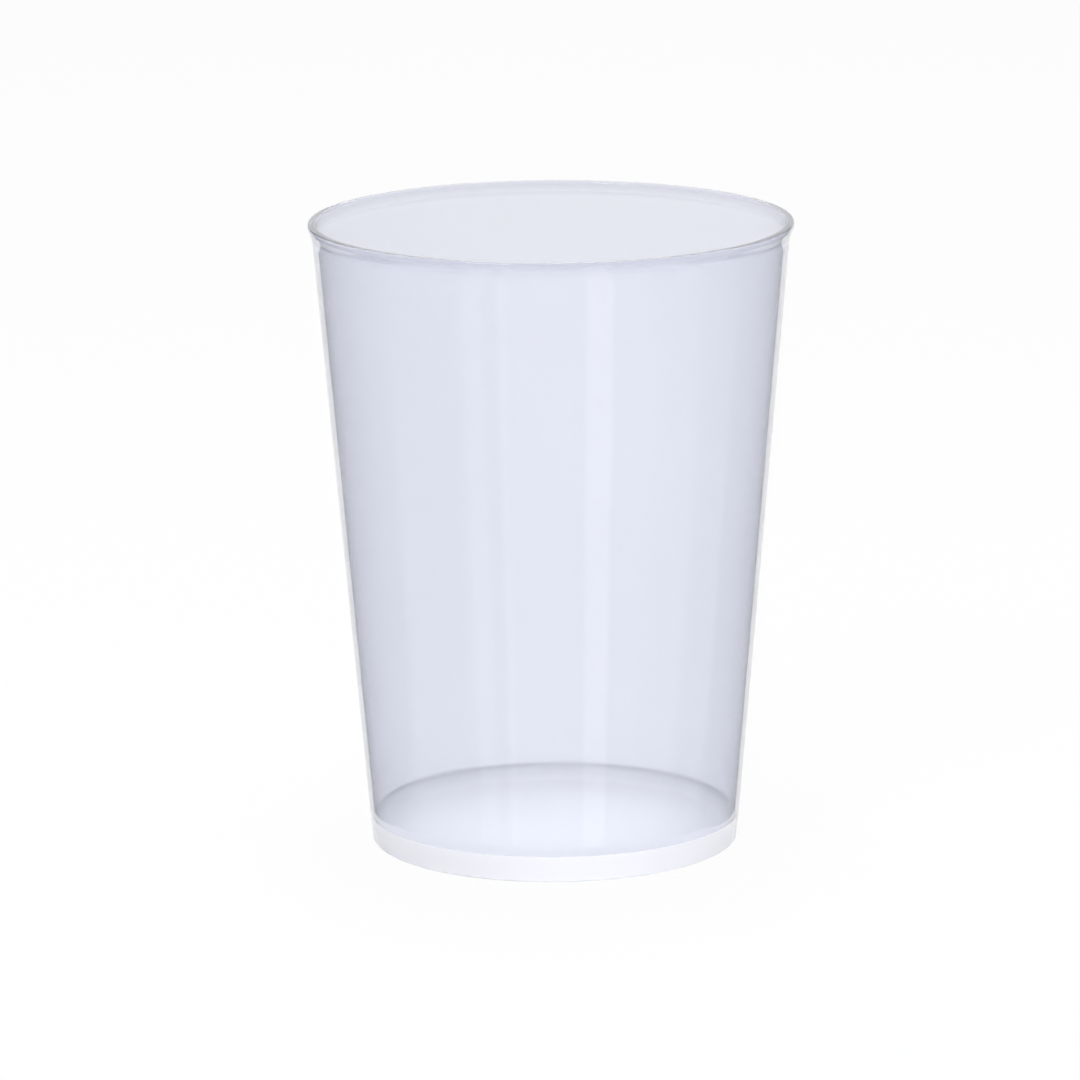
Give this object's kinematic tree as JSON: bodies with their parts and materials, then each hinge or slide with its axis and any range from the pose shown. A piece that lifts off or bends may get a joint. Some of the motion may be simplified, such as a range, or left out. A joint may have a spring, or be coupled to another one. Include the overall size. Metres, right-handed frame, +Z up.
{
  "type": "plastic tumbler cup",
  "caption": "Tapered see-through drinking tumbler moulded in one piece, with a thin wall, a slightly thickened lip and a shallow recess under its floor.",
  "frame": {"origin": "centre of the foot ring's resting plane", "axes": "+Z up along the cup's axis, out of its mouth"},
  "size_m": [0.09, 0.09, 0.1174],
  "materials": {
    "milky_polypropylene": "polished moulding, milky and see-through"
  },
  "bodies": {
    "root": {"tumbler": "milky_polypropylene"}
  },
  "joints": []
}
